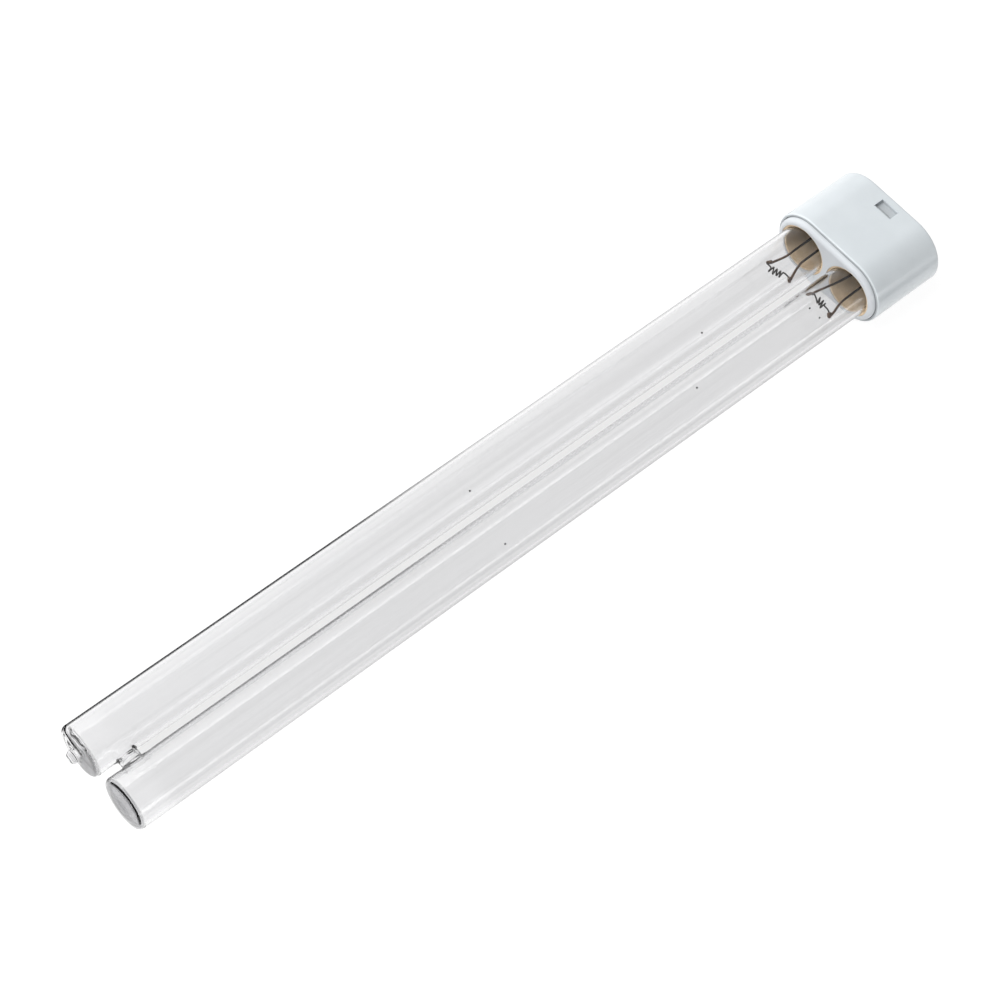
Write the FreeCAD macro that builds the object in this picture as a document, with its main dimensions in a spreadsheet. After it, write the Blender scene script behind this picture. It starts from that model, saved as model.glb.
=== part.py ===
import FreeCAD, Part
import math
import os

import Sketcher

# Twin-tube germicidal discharge lamp with a four-pin in-line base, in millimetres.
# X runs along the lamp, from the base's seating face to the far end of the glass.
# Y runs across the two tubes and Z up, out of the base's broad face.
# The origin is the middle of the seating face, which is where the pins leave the base.

SIZES = {
    # Glass tubes, their closed ends, the bridge between them and the sealed tip
    "tube_diameter": 17.0,
    "tube_wall": 1.1,
    "tube_gap": 3.4,
    "glass_depth": 18.0,
    "glass_reach": 285.7,
    "end_round": 1.8,
    "end_wall": 1.6,
    "end_dome": 1.1,
    "end_fillet": 1.2,
    "bridge_diameter": 6.7,
    "bridge_wall": 0.9,
    "bridge_setback": 10.4,
    "bridge_blend": 0.8,
    "tip_diameter": 4.2,
    "tip_length": 3.0,
    "tip_round": 1.4,
    "tip_root": 0.7,
    # Capping cement round each tube
    "cement_thickness": 0.6,
    "cement_length": 12.5,
    "cement_setback": 0.35,
    "glass_clearance": 0.05,
    # Front collar that closes the housing round the tubes
    "collar_seat": 2.0,
    "collar_gap": 0.2,
    "collar_rise": 1.75,
    "collar_round": 1.6,
    "skirt_length": 7.5,
    "skirt_side_wall": 0.65,
    "skirt_face_wall": 0.875,
    "skirt_clearance": 0.1,
    # Moulded base housing
    "base_wall": 2.2,
    "rear_wall": 2.4,
    "wiring_space": 3.8,
    "front_rim": 0.9,
    "front_round": 0.7,
    "rear_round": 0.8,
    # Latch recess in each broad face: a steep catch, a floor and a ramp up to the face
    "notch_width": 7.0,
    "notch_setback": 2.8,
    "notch_floor": 2.3,
    "notch_ramp": 1.8,
    "notch_depth": 1.5,
    # Contact pins
    "pin_diameter": 2.35,
    "pin_root_diameter": 2.8,
    "pin_length": 5.0,
    "pin_round": 0.8,
    "pin_inboard": 5.2,
    "pin_outboard": 5.8,
    "pin_flange_diameter": 4.0,
    "pin_flange_thickness": 0.8,
    "pin_tail": 3.0,
    "pin_bore_depth": 4.5,
    "pin_clearance": 0.05,
    # Stem that seals the base end of each tube: a flared skirt, a crown and a flat press
    "flare_length": 5.0,
    "flare_wall": 0.9,
    "stem_diameter": 9.8,
    "crown_thickness": 1.5,
    "press_width": 9.6,
    "press_thickness": 3.2,
    "press_length": 6.0,
    # Lead wires, each welded to its outer lead inside the press and hooked at its tip
    "lead_diameter": 0.75,
    "lead_spacing": 5.1,
    "lead_inboard": 0.85,
    "wire_clearance": 0.04,
    "weld_depth": 3.0,
    "outer_lead_bend": 1.5,
    "outer_lead_clear": 0.8,
    "hook_gap": 0.4,
    "hook_return": 1.2,
    # From the press to each lead's kink, from there to its tip, and from the tip to the glass
    "kink_a_outer": 12.0,
    "slant_a_outer": 9.5,
    "glass_gap_a_outer": 4.3,
    "kink_a_inner": 12.2,
    "slant_a_inner": 8.2,
    "glass_gap_a_inner": 0.9,
    "kink_b_outer": 12.5,
    "slant_b_outer": 7.3,
    "glass_gap_b_outer": 3.5,
    "kink_b_inner": 6.0,
    "slant_b_inner": 12.9,
    "glass_gap_b_inner": 0.6,
    # Cathode coils
    "coil_wire": 0.32,
    "coil_diameter": 1.65,
    "coil_pitch": 0.95,
    "coil_leg": 1.6,
    "coil_bend": 0.5,
    # Mercury beads on the inner wall of the tubes, each so far from its tube's base end
    "bead_diameter": 0.5,
    "bead_clearance": 0.02,
    "bead_1_place": 63.5,
    "bead_2_place": 159.2,
    "bead_3_place": 29.5,
    "bead_4_place": 30.5,
    "bead_5_place": 80.0,
    "bead_6_place": 162.9,
}

COIL_TURNS = 4

# The mercury beads: which tube each lies in, its place along it, degrees round from the lowest line.
BEADS = (
    ("a", "bead_1_place", 8),
    ("a", "bead_2_place", -1),
    ("b", "bead_3_place", -5),
    ("b", "bead_4_place", -42),
    ("b", "bead_5_place", -43),
    ("b", "bead_6_place", 0),
)

# Which way each tube lies from the middle of the lamp.
SIDE = {"a": -1, "b": 1}

SHEET = "Sizes"
X_AXIS = FreeCAD.Vector(1, 0, 0)
Z_AXIS = FreeCAD.Vector(0, 0, 1)
ORIGIN_POINT = (-1, 1)
CLOSE = 1e-4


class Size:
    """A length that knows its expression over the sheet and its present value."""

    def __init__(self, text, value):
        self.text = text
        self.value = value

    def __add__(self, other):
        return Size(f"({self.text} + {other.text})", self.value + other.value)

    def __sub__(self, other):
        return Size(f"({self.text} - {other.text})", self.value - other.value)

    def __mul__(self, factor):
        return Size(f"({self.text} * {factor})", self.value * factor)

    def __truediv__(self, factor):
        return Size(f"({self.text} / {factor})", self.value / factor)

    def __neg__(self):
        return Size(f"(-{self.text})", -self.value)

    def at_most(self, other):
        """The smaller of the two, for a round that its wall limits."""
        return Size(f"min({self.text}; {other.text})", min(self.value, other.value))


def size(name):
    """The size that the sheet keeps under this alias."""
    return Size(f"{SHEET}.{name}", SIZES[name])


ZERO = Size("0", 0.0)

# Radii
tube_radius = size("tube_diameter") / 2
bore_radius = tube_radius - size("tube_wall")
cement_inner_radius = tube_radius + size("glass_clearance")
cement_outer_radius = cement_inner_radius + size("cement_thickness")
collar_hole_radius = cement_outer_radius + size("glass_clearance")
bridge_radius = size("bridge_diameter") / 2
tip_radius = size("tip_diameter") / 2
flare_radius = bore_radius - size("glass_clearance")
lead_radius = size("lead_diameter") / 2
wire_hole_radius = lead_radius + size("wire_clearance")
pin_radius = size("pin_diameter") / 2
pin_root_radius = size("pin_root_diameter") / 2

# Places along the lamp that several pieces share
pin_flange_end = size("rear_wall") + size("pin_flange_thickness")
pin_tail_end = pin_flange_end + size("pin_tail")
pin_bore_end = pin_tail_end - size("pin_bore_depth")
glass_start = pin_tail_end + size("wiring_space")
base_length = glass_start + size("glass_depth")
glass_end = base_length + size("glass_reach")
collar_back = base_length - size("collar_seat")
collar_front = base_length + size("collar_rise")
skirt_back = collar_back - size("skirt_length")

# Lengths along the glass, from its base end
glass_length = size("glass_depth") + size("glass_reach")
press_end = size("flare_length") + size("press_length")
weld_place = press_end - size("weld_depth")

# Places across the lamp, from its middle
tube_offset = tube_radius + size("tube_gap") / 2
press_offset = tube_offset - size("lead_inboard")
lead_offset = {
    "inner": press_offset - size("lead_spacing") / 2,
    "outer": press_offset + size("lead_spacing") / 2,
}
pin_offset = {
    "inner": tube_offset - size("pin_inboard"),
    "outer": tube_offset + size("pin_outboard"),
}

# The housing's section: each layer round the tubes adds to it.
cavity_half_width = tube_offset + collar_hole_radius + size("skirt_side_wall") + size("skirt_clearance")
cavity_half_height = collar_hole_radius + size("skirt_face_wall") + size("skirt_clearance")
base_half_width = cavity_half_width + size("base_wall")
base_half_height = cavity_half_height + size("base_wall")

doc = FreeCAD.newDocument("GermicidalLamp")


def make_sheet():
    """Write every driving size into the sheet, one row each."""
    sheet = doc.addObject("Spreadsheet::Sheet", SHEET)
    for row, (name, value) in enumerate(SIZES.items(), start=1):
        sheet.set(f"A{row}", name)
        sheet.set(f"B{row}", str(value))
        sheet.setAlias(f"B{row}", name)
    doc.recompute()


def new_body(name):
    """Start the body of one sub-part."""
    body = doc.addObject("PartDesign::Body", name)
    body.Label = name
    return body


def origin_plane(body, role):
    """One of the body's own origin planes."""
    for feature in body.Origin.OriginFeatures:
        if feature.Role == role:
            return feature
    raise RuntimeError(f"{body.Name} has no {role}")


def new_sketch(body, name, plane, x=ZERO, y=ZERO, z=ZERO):
    """A sketch on one of the body's origin planes, shifted in the plane's own directions."""
    sketch = body.newObject("Sketcher::SketchObject", f"{body.Name}_{name}")
    sketch.AttachmentSupport = (origin_plane(body, plane), [""])
    sketch.MapMode = "FlatFace"
    for letter, shift in (("x", x), ("y", y), ("z", z)):
        if shift is not ZERO:
            sketch.setExpression(f"AttachmentOffset.Base.{letter}", shift.text)
    return sketch


def constrain(sketch, kind, *where, to):
    """Add a dimension and bind it to its size."""
    index = sketch.addConstraint(Sketcher.Constraint(kind, *where, to.value))
    sketch.setExpression(f"Constraints[{index}]", to.text)


def set_on_axis(sketch, geometry, position, axis):
    """Hold a point on the sketch's horizontal or vertical axis."""
    axis_id = {"horizontal": -1, "vertical": -2}[axis]
    sketch.addConstraint(Sketcher.Constraint("PointOnObject", geometry, position, axis_id))


def fix_point(sketch, geometry, position, x, y):
    """Hold a point of the sketch at these coordinates."""
    if x is ZERO:
        set_on_axis(sketch, geometry, position, "vertical")
    else:
        constrain(sketch, "DistanceX", *ORIGIN_POINT, geometry, position, to=x)
    if y is ZERO:
        set_on_axis(sketch, geometry, position, "horizontal")
    else:
        constrain(sketch, "DistanceY", *ORIGIN_POINT, geometry, position, to=y)


def draw_path(sketch, points):
    """Join the points with lines and hold every one of them; returns the lines."""
    lines = []
    for (x1, y1), (x2, y2) in zip(points, points[1:]):
        start = FreeCAD.Vector(x1.value, y1.value, 0)
        end = FreeCAD.Vector(x2.value, y2.value, 0)
        lines.append(sketch.addGeometry(Part.LineSegment(start, end)))
    for before, after in zip(lines, lines[1:]):
        sketch.addConstraint(Sketcher.Constraint("Coincident", before, 2, after, 1))
    for line, (x, y) in zip(lines, points):
        fix_point(sketch, line, 1, x, y)
    fix_point(sketch, lines[-1], 2, *points[-1])
    return lines


def close_path(sketch, first, last, last_point=2):
    """Add the line from the end of the last piece back to the start of the first."""
    start = sketch.getPoint(last, last_point)
    end = sketch.getPoint(first, 1)
    line = sketch.addGeometry(Part.LineSegment(start, end))
    sketch.addConstraint(Sketcher.Constraint("Coincident", last, last_point, line, 1))
    sketch.addConstraint(Sketcher.Constraint("Coincident", line, 2, first, 1))


def draw_polygon(sketch, points):
    """A closed outline through the points."""
    lines = draw_path(sketch, points)
    close_path(sketch, lines[0], lines[-1])


def draw_circle(sketch, x, y, radius):
    """A circle held by its centre and radius."""
    centre = FreeCAD.Vector(x.value, y.value, 0)
    circle = sketch.addGeometry(Part.Circle(centre, Z_AXIS, radius.value))
    fix_point(sketch, circle, 3, x, y)
    constrain(sketch, "Radius", circle, to=radius)


def draw_stadium(sketch, half_width, half_height, middle=ZERO):
    """Two half circles joined by straight runs, about a middle on the horizontal axis."""
    reach = half_width - half_height
    right_x = middle + reach
    left_x = middle - reach
    radius = half_height.value
    right_centre = FreeCAD.Vector(right_x.value, 0, 0)
    left_centre = FreeCAD.Vector(left_x.value, 0, 0)
    up = FreeCAD.Vector(0, radius, 0)
    quarter = math.pi / 2
    top = sketch.addGeometry(Part.LineSegment(left_centre + up, right_centre + up))
    bottom = sketch.addGeometry(Part.LineSegment(right_centre - up, left_centre - up))
    right_circle = Part.Circle(right_centre, Z_AXIS, radius)
    left_circle = Part.Circle(left_centre, Z_AXIS, radius)
    right = sketch.addGeometry(Part.ArcOfCircle(right_circle, -quarter, quarter))
    left = sketch.addGeometry(Part.ArcOfCircle(left_circle, quarter, 3 * quarter))
    joints = ((top, 2, right, 2), (right, 1, bottom, 1), (bottom, 2, left, 2), (left, 1, top, 1))
    for joint in joints:
        sketch.addConstraint(Sketcher.Constraint("Tangent", *joint))
    fix_point(sketch, right, 3, right_x, ZERO)
    fix_point(sketch, left, 3, left_x, ZERO)
    constrain(sketch, "Radius", right, to=half_height)
    sketch.addConstraint(Sketcher.Constraint("Horizontal", top))


def draw_domed_rod(sketch, length, radius, dome):
    """Half the outline of a rod from the origin, whose far end swells out by the dome."""
    lines = draw_path(sketch, [(ZERO, ZERO), (ZERO, radius), (length, radius)])
    tip = length + dome
    sphere_radius = (radius.value ** 2 + dome.value ** 2) / (2 * dome.value)
    centre = FreeCAD.Vector(tip.value - sphere_radius, 0, 0)
    sweep = math.asin(radius.value / sphere_radius)
    sphere = Part.Circle(centre, Z_AXIS, sphere_radius)
    cap = sketch.addGeometry(Part.ArcOfCircle(sphere, 0, sweep))
    sketch.addConstraint(Sketcher.Constraint("Coincident", lines[-1], 2, cap, 2))
    set_on_axis(sketch, cap, 3, "horizontal")
    fix_point(sketch, cap, 1, tip, ZERO)
    close_path(sketch, lines[0], cap, last_point=1)


def extrude(body, kind, sketch, length, name, turned=False, midplane=False):
    """Pad or pocket a sketch; a pad follows the sketch's normal and a pocket goes against it."""
    feature = body.newObject(f"PartDesign::{kind}", f"{body.Name}_{name}")
    feature.Profile = sketch
    feature.Midplane = midplane
    feature.Reversed = turned
    feature.setExpression("Length", length.text)
    return feature


def revolve(body, kind, sketch, name):
    """Revolve a half outline about the sketch's horizontal axis, to add or to groove."""
    feature = body.newObject(f"PartDesign::{kind}", f"{body.Name}_{name}")
    feature.Profile = sketch
    feature.ReferenceAxis = (sketch, ["H_Axis"])
    feature.Angle = 360
    return feature


def fillet(body, feature, wanted, radius, name):
    """Round those edges of a feature that pass a test."""
    doc.recompute()
    edges = enumerate(feature.Shape.Edges, start=1)
    rounded = body.newObject("PartDesign::Fillet", f"{body.Name}_{name}")
    rounded.Base = (feature, [f"Edge{index}" for index, edge in edges if wanted(edge)])
    rounded.setExpression("Radius", radius.text)
    return rounded


def lies_at(place):
    """A test for edges that lie wholly in the plane across the lamp at this place."""
    def test(edge):
        box = edge.BoundBox
        return abs(box.XMin - place.value) < CLOSE and abs(box.XMax - place.value) < CLOSE
    return test


def circles_at(place, radius):
    """A test for the circular edges of this radius in the plane across the lamp at this place."""
    def test(edge):
        return lies_at(place)(edge) and abs(edge.Curve.Radius - radius.value) < CLOSE
    return test


def set_place(item, side="b", x=ZERO):
    """Shift a piece along the lamp, and turn it half round the lamp's axis for tube a.

    The pieces that both tubes have are drawn where tube b has them.
    """
    angle = 0 if side == "b" else 180
    shift = FreeCAD.Vector(x.value, 0, 0)
    item.Placement = FreeCAD.Placement(shift, FreeCAD.Rotation(X_AXIS, angle))
    if x is not ZERO:
        item.setExpression(".Placement.Base.x", x.text)


def make_housing():
    """The moulded base: a cup of stadium section, open at the front."""
    body = new_body("base_housing")
    outline = new_sketch(body, "outline", "YZ_Plane")
    draw_stadium(outline, base_half_width, base_half_height)
    block = extrude(body, "Pad", outline, base_length, "block")
    block = fillet(body, block, lies_at(ZERO), size("rear_round"), "rear_edge")
    front_round = size("front_round").at_most(size("front_rim") * 0.9)
    fillet(body, block, lies_at(base_length), front_round, "front_edge")

    cavity = new_sketch(body, "cavity", "YZ_Plane", z=size("rear_wall"))
    draw_stadium(cavity, cavity_half_width, cavity_half_height)
    extrude(body, "Pocket", cavity, base_length - size("rear_wall"), "hollow", turned=True)

    seat = new_sketch(body, "seat", "YZ_Plane", z=collar_back)
    draw_stadium(seat, base_half_width - size("front_rim"), base_half_height - size("front_rim"))
    extrude(body, "Pocket", seat, size("collar_seat"), "collar_seat", turned=True)

    holes = new_sketch(body, "pin_holes", "YZ_Plane")
    for offset in pin_offset.values():
        draw_circle(holes, offset, ZERO, pin_root_radius + size("pin_clearance"))
        draw_circle(holes, -offset, ZERO, pin_root_radius + size("pin_clearance"))
    extrude(body, "Pocket", holes, size("rear_wall"), "pin_holes", turned=True)

    notch = new_sketch(body, "notch", "XZ_Plane")
    floor = base_half_height - size("notch_depth")
    ramp_start = size("notch_setback") + size("notch_floor")
    draw_polygon(notch, [
        (size("notch_setback"), base_half_height),
        (size("notch_setback"), floor),
        (ramp_start, floor),
        (ramp_start + size("notch_ramp"), base_half_height),
    ])
    latch = extrude(body, "Pocket", notch, size("notch_width"), "latch_notch", midplane=True)
    doc.recompute()
    mirrored = body.newObject("PartDesign::Mirrored", "base_housing_second_notch")
    mirrored.Originals = [latch]
    mirrored.MirrorPlane = (origin_plane(body, "XY_Plane"), [""])
    body.Tip = mirrored
    return body


def make_collar():
    """The front collar: a raised plate in the housing's mouth, with a skirt behind it."""
    body = new_body("front_collar")
    plate = new_sketch(body, "plate", "YZ_Plane", z=collar_back)
    inset = size("front_rim") + size("collar_gap")
    draw_stadium(plate, base_half_width - inset, base_half_height - inset)
    plate_thickness = size("collar_seat") + size("collar_rise")
    block = extrude(body, "Pad", plate, plate_thickness, "plate")
    fillet(body, block, lies_at(collar_front), size("collar_round"), "front_edge")

    skirt = new_sketch(body, "skirt", "YZ_Plane", z=collar_back)
    clearance = size("skirt_clearance")
    draw_stadium(skirt, cavity_half_width - clearance, cavity_half_height - clearance)
    extrude(body, "Pad", skirt, size("skirt_length"), "skirt", turned=True)

    holes = new_sketch(body, "tube_holes", "YZ_Plane", z=collar_front)
    draw_circle(holes, tube_offset, ZERO, collar_hole_radius)
    draw_circle(holes, -tube_offset, ZERO, collar_hole_radius)
    extrude(body, "Pocket", holes, collar_front - skirt_back, "tube_holes")
    return body


def make_envelope():
    """The glass: two tubes closed at their far ends, joined by a short bridge, all hollow."""
    body = new_body("glass_envelope")
    bridge_place = glass_length - size("bridge_setback")
    neck = new_sketch(body, "bridge", "XZ_Plane")
    draw_circle(neck, bridge_place, ZERO, bridge_radius)
    extrude(body, "Pad", neck, tube_offset * 2, "bridge", midplane=True)

    tube_a = new_sketch(body, "tube_a", "XY_Plane", y=-tube_offset)
    tip_end = glass_length + size("tip_length")
    draw_polygon(tube_a, [
        (ZERO, ZERO),
        (ZERO, tube_radius),
        (glass_length, tube_radius),
        (glass_length, tip_radius),
        (tip_end, tip_radius),
        (tip_end, ZERO),
    ])
    revolve(body, "Revolution", tube_a, "tube_a")

    tube_b = new_sketch(body, "tube_b", "XY_Plane", y=tube_offset)
    draw_domed_rod(tube_b, glass_length, tube_radius, size("end_dome"))
    solid = revolve(body, "Revolution", tube_b, "tube_b")

    def is_bridge_seam(edge):
        box = edge.BoundBox
        near = abs(box.Center.x - bridge_place.value) < CLOSE
        return near and abs(box.ZLength - 2 * bridge_radius.value) < bridge_radius.value

    tube_ends = circles_at(glass_length, tube_radius)
    solid = fillet(body, solid, tube_ends, size("end_round"), "end_edges")
    tip_round = size("tip_round").at_most(tip_radius * 0.9)
    solid = fillet(body, solid, circles_at(tip_end, tip_radius), tip_round, "tip_edge")
    solid = fillet(body, solid, circles_at(glass_length, tip_radius), size("tip_root"), "tip_root")
    blend = size("bridge_blend").at_most(size("tube_gap") * 0.3)
    fillet(body, solid, is_bridge_seam, blend, "bridge_blend")

    cavity_end = glass_length - size("end_wall")
    for side, offset in (("a", -tube_offset), ("b", tube_offset)):
        bore = new_sketch(body, f"bore_{side}", "XY_Plane", y=offset)
        draw_polygon(bore, [
            (ZERO, ZERO),
            (ZERO, bore_radius),
            (cavity_end, bore_radius),
            (cavity_end, ZERO),
        ])
        hollow = revolve(body, "Groove", bore, f"bore_{side}")
    hollow = fillet(body, hollow, lies_at(cavity_end), size("end_fillet"), "inner_ends")

    passage = new_sketch(body, "passage", "XZ_Plane")
    draw_circle(passage, bridge_place, ZERO, bridge_radius - size("bridge_wall"))
    extrude(body, "Pocket", passage, tube_offset * 2, "passage", midplane=True)
    set_place(body, x=glass_start)
    return body


def make_cement(side):
    """The ring of capping cement that holds one tube in the collar."""
    body = new_body(f"capping_cement_{side}")
    front = collar_front - size("cement_setback")
    back = front - size("cement_length")
    ring = new_sketch(body, "ring", "XY_Plane", y=tube_offset)
    draw_polygon(ring, [
        (back, cement_inner_radius),
        (front, cement_inner_radius),
        (front, cement_outer_radius),
        (back, cement_outer_radius),
    ])
    revolve(body, "Revolution", ring, "ring")
    set_place(body, side)
    return body


def make_stem(side):
    """The stem of one tube: a hollow flare sealed into the tube, its crown and its flat press."""
    body = new_body(f"stem_{side}")
    flare = new_sketch(body, "flare", "XY_Plane", y=tube_offset)
    stem_radius = size("stem_diameter") / 2
    crown_end = size("flare_length") + size("crown_thickness")
    draw_polygon(flare, [
        (ZERO, flare_radius - size("flare_wall")),
        (ZERO, flare_radius),
        (size("flare_length"), stem_radius),
        (crown_end, size("press_thickness") / 2),
        (crown_end, ZERO),
        (size("flare_length"), ZERO),
        (size("flare_length"), stem_radius - size("flare_wall")),
    ])
    revolve(body, "Revolution", flare, "flare")

    press = new_sketch(body, "press", "YZ_Plane", z=size("flare_length"))
    draw_stadium(press, size("press_width") / 2, size("press_thickness") / 2, middle=press_offset)
    extrude(body, "Pad", press, size("press_length"), "press")

    holes = new_sketch(body, "wire_holes", "YZ_Plane", z=press_end)
    for offset in lead_offset.values():
        draw_circle(holes, offset, ZERO, wire_hole_radius)
    extrude(body, "Pocket", holes, size("press_length"), "wire_holes")
    set_place(body, side, glass_start)
    return body


def sweep_wire(body, points):
    """A round wire along a path in the XY plane whose first run lies along X."""
    path = new_sketch(body, "path", "XY_Plane")
    draw_path(path, points)
    start_x, start_y = points[0]
    section = new_sketch(body, "section", "YZ_Plane", z=start_x)
    draw_circle(section, start_y, ZERO, lead_radius)
    wire = body.newObject("PartDesign::AdditivePipe", f"{body.Name}_wire")
    wire.Profile = section
    wire.Spine = path
    wire.Transition = "Round corner"


def lead_tip(side, place):
    """Where one lead's tip is, and the step across to the strand that folds back from it."""
    kink = press_end + size(f"kink_{side}_{place}")
    reach = kink + size(f"slant_{side}_{place}")
    from_axis = bore_radius - lead_radius - size(f"glass_gap_{side}_{place}")
    fold = size("hook_gap") + size("lead_diameter")
    if place == "outer":
        return kink, reach, tube_offset + from_axis, -fold
    return kink, reach, tube_offset - from_axis, fold


def make_lead(side, place):
    """One inner lead wire, from its weld in the press to the hook that grips the coil."""
    body = new_body(f"lead_wire_{side}_{place}")
    kink, reach, tip_y, fold = lead_tip(side, place)
    sweep_wire(body, [
        (weld_place, lead_offset[place]),
        (kink, lead_offset[place]),
        (reach - size("hook_return"), tip_y),
        (reach, tip_y),
        (reach, tip_y + fold),
        (reach - size("hook_return"), tip_y + fold),
    ])
    set_place(body, side, glass_start)
    return body


def make_outer_lead(side, place):
    """One outer lead wire, from the weld in the press to the bottom of its pin's bore."""
    body = new_body(f"outer_lead_{side}_{place}")
    sweep_wire(body, [
        (glass_start + weld_place, lead_offset[place]),
        (glass_start + size("outer_lead_bend"), lead_offset[place]),
        (pin_tail_end + size("outer_lead_clear"), pin_offset[place]),
        (pin_bore_end, pin_offset[place]),
    ])
    set_place(body, side)
    return body


def make_pin(side, place):
    """One contact pin: a rounded plug, a root in the rear wall, a flange and a bored tail."""
    body = new_body(f"contact_pin_{side}_{place}")
    outline = new_sketch(body, "outline", "XY_Plane", y=pin_offset[place])
    flange_radius = size("pin_flange_diameter") / 2
    nose = -size("pin_length")
    draw_polygon(outline, [
        (nose, ZERO),
        (nose, pin_radius),
        (ZERO, pin_radius),
        (ZERO, pin_root_radius),
        (size("rear_wall"), pin_root_radius),
        (size("rear_wall"), flange_radius),
        (pin_flange_end, flange_radius),
        (pin_flange_end, pin_radius),
        (pin_tail_end, pin_radius),
        (pin_tail_end, wire_hole_radius),
        (pin_bore_end, wire_hole_radius),
        (pin_bore_end, ZERO),
    ])
    plug = revolve(body, "Revolution", outline, "plug")
    nose_round = size("pin_round").at_most(pin_radius * 0.9)
    fillet(body, plug, lies_at(nose), nose_round, "nose")
    set_place(body, side)
    return body


def coil_hooks(side):
    """The middles of the two hook gaps that hold a coil, where tube b has them."""
    for place in ("outer", "inner") if side == "a" else ("inner", "outer"):
        _, reach, tip_y, fold = lead_tip(side, place)
        middle = reach - size("hook_return") / 2
        yield FreeCAD.Vector(middle.value, (tip_y + fold / 2).value, 0)


def arc(start, way, end):
    """The arc from one point through a second to a third."""
    return Part.Arc(start, way, end).toShape()


def quarter(centre, first, second):
    """A quarter turn about a centre, from one radius to the other."""
    return arc(centre + first, centre + (first + second) * math.sqrt(0.5), centre + second)


def coil_spine(side):
    """The line of a coil's wire: over one lead's strand, round the turns and over the other's."""
    start, end = coil_hooks(side)
    fold = (SIZES["hook_gap"] + SIZES["lead_diameter"]) / 2
    bend = SIZES["coil_bend"]
    leg = SIZES["coil_leg"]
    step = SIZES["coil_pitch"] / 2
    span = end - start
    swing = FreeCAD.Rotation(Z_AXIS, -math.degrees(math.asin(2 * bend / span.Length)))
    along = swing.multVec(span).normalize()
    across = Z_AXIS.cross(along)
    up = Z_AXIS * fold

    first_turn = start + along * leg + across * bend + up
    strand = start + along * fold
    edges = [
        Part.makeLine(start - up, start),
        quarter(strand, -along * fold, up),
        Part.makeLine(strand + up, first_turn - (along + across) * bend),
        quarter(first_turn - along * bend, -across * bend, along * bend),
    ]
    place = first_turn
    side_step = across
    drop = Z_AXIS * -SIZES["coil_diameter"]
    for _ in range(2 * COIL_TURNS):
        chord = along * step + drop
        edges.append(arc(place, place + chord / 2 + side_step * (chord.Length / 2), place + chord))
        place += chord
        side_step = -side_step
        drop = -drop
    strand = end - along * fold
    edges += [
        quarter(place + along * bend, -along * bend, across * bend),
        Part.makeLine(place + (along + across) * bend, strand + up),
        quarter(strand, up, along * fold),
        Part.makeLine(end, end - up),
    ]
    return Part.Wire(edges)


def make_coil(side):
    """One cathode coil, a fine wire of loose turns hung between the two hooks."""
    spine = coil_spine(side)
    section = Part.makeCircle(SIZES["coil_wire"] / 2, spine.Edges[0].Vertexes[0].Point, Z_AXIS)
    coil = doc.addObject("Part::Feature", f"cathode_coil_{side}")
    coil.Label = f"cathode_coil_{side}"
    coil.Shape = spine.makePipe(Part.Face(Part.Wire(section)))
    set_place(coil, side, glass_start)
    return coil


def make_beads():
    """The mercury dose, a few separate beads on the tubes' inner wall."""
    radius = SIZES["bead_diameter"] / 2
    track = bore_radius.value - radius - SIZES["bead_clearance"]
    beads = []
    for side, place, degrees in BEADS:
        angle = math.radians(degrees)
        y = SIDE[side] * tube_offset.value + track * math.sin(angle)
        z = -track * math.cos(angle)
        beads.append(Part.makeSphere(radius, FreeCAD.Vector(SIZES[place], y, z)))
    dose = doc.addObject("Part::Feature", "mercury_beads")
    dose.Label = "mercury_beads"
    dose.Shape = Part.makeCompound(beads)
    set_place(dose, x=glass_start)
    return dose


def make_lamp():
    """Build every sub-part."""
    make_sheet()
    parts = [make_housing(), make_collar(), make_envelope()]
    for side in SIDE:
        parts += [make_cement(side), make_stem(side), make_coil(side)]
        for place in lead_offset:
            parts += [make_lead(side, place), make_outer_lead(side, place), make_pin(side, place)]
    parts.append(make_beads())
    doc.recompute()
    return parts


def check(parts):
    """Stop if any feature failed or any sub-part has no sound shape."""
    for item in doc.Objects:
        if "Invalid" in item.State or "Error" in item.State:
            raise RuntimeError(f"{item.Name} failed: {item.State}")
    for part in parts:
        if part.Shape.isNull() or not part.Shape.isValid():
            raise RuntimeError(f"{part.Label} has no sound shape")


def export(parts):
    """Write each sub-part's shape to a file of its own."""
    os.makedirs("parts", exist_ok=True)
    for part in parts:
        part.Shape.exportStep(f"parts/{part.Label}.step")
        count = len(part.Shape.Solids)
        print(f"{part.Label}: {count} solid(s), {part.Shape.Volume:.2f} mm3")


lamp = make_lamp()
check(lamp)
export(lamp)
print(f"base {2 * base_half_width.value:.2f} x {2 * base_half_height.value:.2f} x {base_length.value:.2f}, "
      f"glass from {glass_start.value:.2f} to {glass_end.value:.2f}")
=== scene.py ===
# %% [markdown]
# # A twin-tube germicidal lamp
#
# The lamp is two clear glass tubes in a pale plastic base. The glass hides nothing, so most of this
# lesson is about glass: how its surfaces are shaped, and what the room must hold for it to be seen.
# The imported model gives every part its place, and the looks are built around it.

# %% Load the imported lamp
import math

import bmesh
import bpy
from mathutils import Matrix, Vector, noise


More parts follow.
